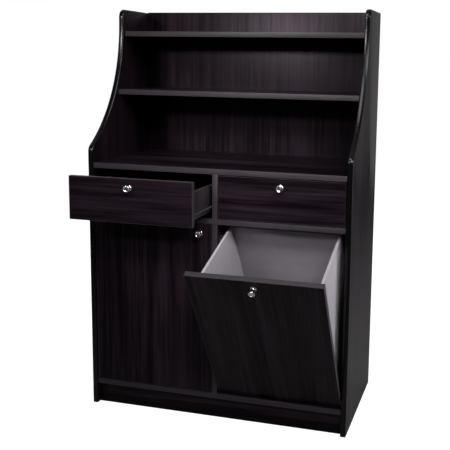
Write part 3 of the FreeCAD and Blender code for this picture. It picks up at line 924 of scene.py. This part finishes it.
@dataclass
class Leaf(SubAssembly):
    """Laminated front of a moving body, with an edge band and a knob.

    Its shapes are made where the leaf is shut, and its matrix then puts them in place.
    """

    front: str
    grain: Grain
    shift: float
    place: Matrix = UNMOVED
    lean: float = 0.0
    band: float = 0.0010
    core_arris: float = 0.00015
    band_arris: float = 0.0004
    strike_inset: float = 0.007
    screw_sunk: float = 0.0005
    knob: KnobShape = KnobShape()

    def box(self, node: str) -> Box:
        """Box of a CAD node of this body when it is shut."""
        return solids_of(node, self.place.inverted())[0]

    def turned(self, direction: Vector) -> Vector:
        """Direction of the shut leaf, as it is in place."""
        return self.place.to_3x3() @ direction

    def build(self) -> None:
        """Make the core, its edge band and the knob."""
        lo, hi = self.box(self.front)
        inset = Vector((self.band, 0.0, self.band))
        core = bmesh.new()
        add_box(core, lo + inset, hi - inset)
        core.transform(self.place)
        look = WOODGRAIN.look(self.grain, self.shift, self.lean)
        self.put(f"{self.front}.core", core, look, (self.front,), self.core_arris, 1)
        ring = bmesh.new()
        add_frame(ring, lo, hi, self.band)
        ring.transform(self.place)
        self.put(f"{self.front}.edge_band", ring, BAND.look(), (), self.band_arris)
        self._knob(f"{self.body}_knob")

    def _knob(self, node: str) -> None:
        """Make a node's knob, its head as wide as that of the door's, which stands square."""
        knob_lo, knob_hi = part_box("door_knob")
        head = (knob_hi.x - knob_lo.x) / 2.0
        lo, hi = self.box(node)
        seat = Vector(((lo.x + hi.x) / 2.0, hi.y, (lo.z + hi.z) / 2.0))
        place = self.place @ Matrix.Translation(seat) @ Matrix.Rotation(math.pi / 2.0, 4, "X")
        shape = bmesh.new()
        add_turned(shape, self.knob.profile(head, hi.y - lo.y), place)
        self.put(f"{node}.turned", shape, CHROME.look(), (node,))

    def knob_screw(self) -> None:
        """Add the knob's screw, on the back of the front."""
        seat = middle_of(self.box(f"{self.body}_knob"))
        seat.y = self.box(self.front)[1].y
        self.fasten(f"{self.body}_knob_screw", KNOB_SCREW, [self.place @ seat],
                    self.turned(Y_AXIS))

    def strike_screws(self, along: int) -> None:
        """Add the flush screws of the strike plate, apart along one axis."""
        lo, hi = self.box(f"{self.body}_strike_plate")
        places = []
        for end in (lo[along] + self.strike_inset, hi[along] - self.strike_inset):
            place = middle_of((lo, hi))
            place.y = hi.y - self.screw_sunk
            place[along] = end
            places.append(self.place @ place)
        self.fasten(f"{self.body}_strike_screws", STRIKE_SCREW, places, self.turned(Y_AXIS))


@dataclass
class Rollers(SubAssembly):
    """Nylon rollers with a hub and a hollowed face."""

    node: str
    hub: float = 0.0044
    rim: float = 0.0020
    hollow: float = 0.0012
    slope: float = 0.0003
    edge: float = 0.0005
    sides: int = 40

    def build(self) -> None:
        """Make each roller of the node."""
        shape = bmesh.new()
        for lo, hi in solids_of(self.node):
            radius = (hi.z - lo.z) / 2.0
            width = hi.x - lo.x
            inner = radius - self.rim
            side: Profile = [(self.hub, 0.0), (self.hub, self.hollow), (inner, self.hollow),
                             (inner + self.slope, 0.0), (radius - self.edge, 0.0),
                             (radius, self.edge)]
            far = [(r, width - h) for r, h in reversed(side)]
            seat = middle_of((lo, hi))
            seat.x = lo.x
            place = Matrix.Translation(seat) @ Matrix.Rotation(math.pi / 2.0, 4, "Y")
            add_turned(shape, [(0.0, 0.0), *side, *far, (0.0, width)], place, self.sides)
        self.put(f"{self.node}.turned", shape, NYLON.look(), (self.node,))


@dataclass
class DrawerUnit(SubAssembly):
    """One drawer with its front, box, knob and runners."""

    side: str
    shift: float
    wall_step: float = 0.2
    thin_arris: float = 0.0002
    rear_screw_in: float = 0.006
    front_cap_in: float = 0.011
    screw_heights: Span = (0.028, 0.068)

    def __post_init__(self) -> None:
        """Name the drawer's body."""
        self.body = f"{self.side}_drawer"

    def build(self) -> None:
        """Make the drawer."""
        name = self.body
        leaf = Leaf(f"{name}_front", Grain.SIDEWAYS, self.shift, body=name)
        leaf.build()
        walls = (f"{name}_left_side", f"{name}_right_side", f"{name}_back")
        self.boards(BoardSet(BOX_WOODGRAIN, Grain.UPRIGHT, walls, self.shift, self.wall_step))
        bottom = BOX_WOODGRAIN.look(Grain.SIDEWAYS, self.shift)
        self.board(f"{name}_bottom", bottom, self.thin_arris)
        self.parts(DARK_PAINT, self.thin_arris, f"{name}_slide_rails")
        for kind in ("slide", "case"):
            Rollers(f"{name}_{kind}_rollers", body=f"{self.side}_{kind}_rollers").build()
        leaf.knob_screw()
        self._corners(name)

    def _corners(self, name: str) -> None:
        """Add the corner screws outside the back, and the caps inside the front."""
        front_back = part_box(f"{name}_front")[1].y
        for part, sign in (("left_side", -1.0), ("right_side", 1.0)):
            lo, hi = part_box(f"{name}_{part}")
            outer, inner = (lo.x, hi.x) if sign < 0.0 else (hi.x, lo.x)
            heights = [lo.z + height for height in self.screw_heights]
            screws = [Vector((outer, hi.y - self.rear_screw_in, z)) for z in heights]
            self.fasten(f"{name}_{part}_screws", WALL_SCREW, screws, X_AXIS * sign)
            caps = [Vector((inner, front_back + self.front_cap_in, z)) for z in heights]
            self.fasten(f"{name}_{part}_caps", BLOCK_CAP, caps, X_AXIS * -sign)


@dataclass
class Door(SubAssembly):
    """Cupboard door with its knob, pins and strike plate."""

    body: str = "door"
    shift: float = 0.83
    pin_arris: float = 0.0005
    plate_arris: float = 0.0002

    def build(self) -> None:
        """Make the door."""
        leaf = Leaf("door_panel", Grain.UPRIGHT, self.shift, body=self.body)
        leaf.build()
        self.parts(ZINC, self.pin_arris, "door_pivot_pins")
        self.parts(ZINC, self.plate_arris, "door_strike_plate")
        leaf.knob_screw()
        leaf.strike_screws(0)


@dataclass
class TipOutBin(SubAssembly):
    """Bin that leans out on pins at its foot."""

    body: str = "bin"
    shift: float = 1.37
    wall_arris: float = 0.0006
    steel_arris: float = 0.0003
    screws: int = 3
    screw_margin: float = 0.040

    def lean(self) -> tuple[Matrix, float]:
        """Matrix from the shut bin to the open one, and the angle between them in radians."""
        joint = next(j for j in frame["joints"] if j["name"] == "bin_tilt")
        angle = -math.radians(joint["range_deg"][0])
        pivot = Vector(joint["pos_m"])
        turn = Matrix.Rotation(angle, 4, "X")
        return Matrix.Translation(pivot) @ turn @ Matrix.Translation(-pivot), angle

    def build(self) -> None:
        """Make the bin."""
        leaf = Leaf("bin_front", Grain.UPRIGHT, self.shift, *self.lean(), body=self.body)
        leaf.build()
        self.parts(LINER, self.wall_arris, "bin_left_wall", "bin_right_wall",
                   "bin_back_wall", "bin_floor")
        self.parts(ZINC, self.steel_arris, "bin_pivot_pins", "bin_strike_plate",
                   "bin_stop_studs")
        leaf.knob_screw()
        leaf.strike_screws(2)
        self._wall_screws(leaf)

    def _wall_screws(self, leaf: Leaf) -> None:
        """Add the screws through the side walls into the back wall."""
        back_lo, back_hi = leaf.box("bin_back_wall")
        depth = (back_lo.y + back_hi.y) / 2.0
        heights = evenly(back_lo.z, back_hi.z, self.screw_margin, self.screws)
        for node, sign in (("bin_left_wall", -1.0), ("bin_right_wall", 1.0)):
            lo, hi = leaf.box(node)
            outer = lo.x if sign < 0.0 else hi.x
            places = [leaf.place @ Vector((outer, depth, z)) for z in heights]
            self.fasten(f"{node}_screws", WALL_SCREW, places, leaf.turned(X_AXIS * sign))


# Studio

@dataclass(frozen=True)
class SoftBox:
    """Rectangular lamp. Its spread is in degrees."""

    name: str
    place: RGB
    aim: RGB
    width: float
    height: float
    power: float
    spread: float = 180.0

    def build(self) -> None:
        """Make the lamp."""
        data = bpy.data.lights.new(self.name, "AREA")
        data.shape = "RECTANGLE"
        data.size = self.width
        data.size_y = self.height
        data.energy = self.power
        data.spread = math.radians(self.spread)
        lamp = new_object(self.name, data)
        lamp.visible_camera = False
        lamp.location = self.place
        away = Vector(self.place) - Vector(self.aim)
        lamp.rotation_mode = "QUATERNION"
        lamp.rotation_quaternion = away.to_track_quat("Z", "Y")


@dataclass(frozen=True)
class PhotoCamera:
    """Camera that stands where the photograph's stood.

    Angles are in degrees, and pixels are those of the square photograph.
    """

    eye: RGB = (0.9123, -2.6988, 1.2629)
    heading: float = -15.129
    tilt_down: float = 8.706
    roll: float = -0.935
    focal_px: float = 779.09
    centre_px: Span = (285.0, 180.0)
    frame_px: float = 450.0
    sensor: float = 36.0
    reach: Span = (0.05, 60.0)

    def build(self) -> None:
        """Make the camera and make it the scene's."""
        heading, tilt, roll = map(math.radians, (self.heading, self.tilt_down, self.roll))
        forward = Vector((math.sin(heading) * math.cos(tilt), math.cos(heading) * math.cos(tilt),
                          -math.sin(tilt)))
        level = Vector((math.cos(heading), -math.sin(heading), 0.0))
        down = forward.cross(level)
        right = math.cos(roll) * level + math.sin(roll) * down
        up = math.sin(roll) * level - math.cos(roll) * down
        turned = Matrix((right, up, -forward)).transposed()
        data = bpy.data.cameras.new("photo_camera")
        data.sensor_width = self.sensor
        data.lens = self.focal_px / self.frame_px * self.sensor
        data.shift_x = (self.frame_px / 2.0 - self.centre_px[0]) / self.frame_px
        data.shift_y = (self.centre_px[1] - self.frame_px / 2.0) / self.frame_px
        data.clip_start, data.clip_end = self.reach
        camera = new_object("photo_camera", data)
        camera.matrix_world = Matrix.Translation(Vector(self.eye)) @ turned.to_4x4()
        bpy.context.scene.camera = camera


@dataclass(frozen=True)
class Studio:
    """Pale floor, white surroundings, lamps and camera."""

    floor_size: float = 14.0
    floor_colour: RGB = (0.36, 0.36, 0.36)
    floor_roughness: float = 0.9
    floor_glow: Span = (0.90, 1.0)
    floor_reach: Span = (0.9, 2.2)
    ambient: float = 0.035
    mirrored_glow: Span = (0.05, 0.34)
    mirrored_reach: Span = (-0.20, 0.35)
    lamps: tuple[SoftBox, ...] = (
        SoftBox("overhead", (0.0, -0.75, 2.25), (0.0, 0.1, 1.0), 0.8, 0.6, 8.0),
        SoftBox("key", (1.5, -1.9, 2.3), (0.23, -0.3, 0.6), 0.7, 0.7, 4.0, 60.0),
        SoftBox("right", (3.2, 0.3, 1.2), (0.4, 0.0, 0.75), 2.0, 2.0, 52.0),
        SoftBox("left", (-3.0, 0.7, 1.4), (-0.45, 0.1, 0.8), 1.5, 1.5, 22.0),
        SoftBox("worktop", (0.3, -1.7, 2.1), (0.0, -0.15, 0.88), 0.6, 0.3, 1.35, 35.0),
        SoftBox("rear", (-1.2, 3.0, 2.2), (0.0, 0.24, 0.8), 1.6, 1.6, 28.0),
        SoftBox("front", (-1.15, -2.85, 2.12), (-0.05, 0.2, 1.3), 1.0, 0.3, 3.6, 50.0),
    )

    def build(self) -> None:
        """Make the studio."""
        self._floor()
        self._world()
        for lamp in self.lamps:
            lamp.build()
        PhotoCamera().build()

    def _floor(self) -> None:
        """Floor that looks white and keeps the object's shadow."""
        mesh = bpy.data.meshes.new("floor")
        half = self.floor_size / 2.0
        corners = [(-half, -half, 0.0), (half, -half, 0.0), (half, half, 0.0), (-half, half, 0.0)]
        mesh.from_pydata(corners, [], [(0, 1, 2, 3)])
        floor = new_object("floor", mesh)
        material, nodes, shader = new_material("pale_floor")
        seen = nodes.add("ShaderNodeLightPath").outputs["Is Camera Ray"]
        reach = nodes.add("ShaderNodeVectorMath", {"operation": "LENGTH"},
                          Vector=nodes.add("ShaderNodeTexCoord").outputs["Object"])
        glow = nodes.between(reach.outputs["Value"], self.floor_reach, self.floor_glow)
        nodes.fill(shader, Base_Color=(*self.floor_colour, 1.0), Roughness=self.floor_roughness,
                   Specular_IOR_Level=0.0, Emission_Color=WHITE,
                   Emission_Strength=nodes.math("MULTIPLY", seen, glow))
        mesh.materials.append(material)

    def _world(self) -> None:
        """White background, dimmer where gloss reflects it, and a soft level on the object."""
        world = bpy.data.worlds.new("studio_world")
        world.use_nodes = True
        bpy.context.scene.world = world
        nodes = Nodes(world.node_tree)
        path = nodes.add("ShaderNodeLightPath").outputs
        seen = nodes.math("MAXIMUM", path["Is Camera Ray"], path["Is Transmission Ray"])
        direction = nodes.add("ShaderNodeSeparateXYZ",
                              Vector=nodes.add("ShaderNodeTexCoord").outputs["Generated"])
        behind = nodes.between(direction.outputs["Y"], self.mirrored_reach, self.mirrored_glow)
        mirrored = nodes.math("MULTIPLY", path["Is Glossy Ray"], behind)
        lit = nodes.math("SUBTRACT", 1.0, nodes.math("MAXIMUM", seen, path["Is Glossy Ray"]))
        soft = nodes.math("MULTIPLY", lit, self.ambient)
        strength = nodes.math("ADD", nodes.math("ADD", seen, mirrored), soft)
        back = nodes.add("ShaderNodeBackground", Color=WHITE, Strength=strength)
        nodes.add("ShaderNodeOutputWorld", Surface=back)


def main() -> None:
    """Build the station piece by piece, then the studio."""
    logging.basicConfig(level=logging.INFO, format="%(name)s: %(message)s")
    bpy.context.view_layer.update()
    for group in (CaseBoards(), EdgeMouldings(), CaseRails(), CaseFittings(), Catches(),
                  DrawerUnit("left", 0.4), DrawerUnit("right", 0.9), Door(), TipOutBin(),
                  Studio()):
        group.build()
    bpy.context.scene.view_settings.view_transform = "Standard"


if __name__ == "__main__":
    main()
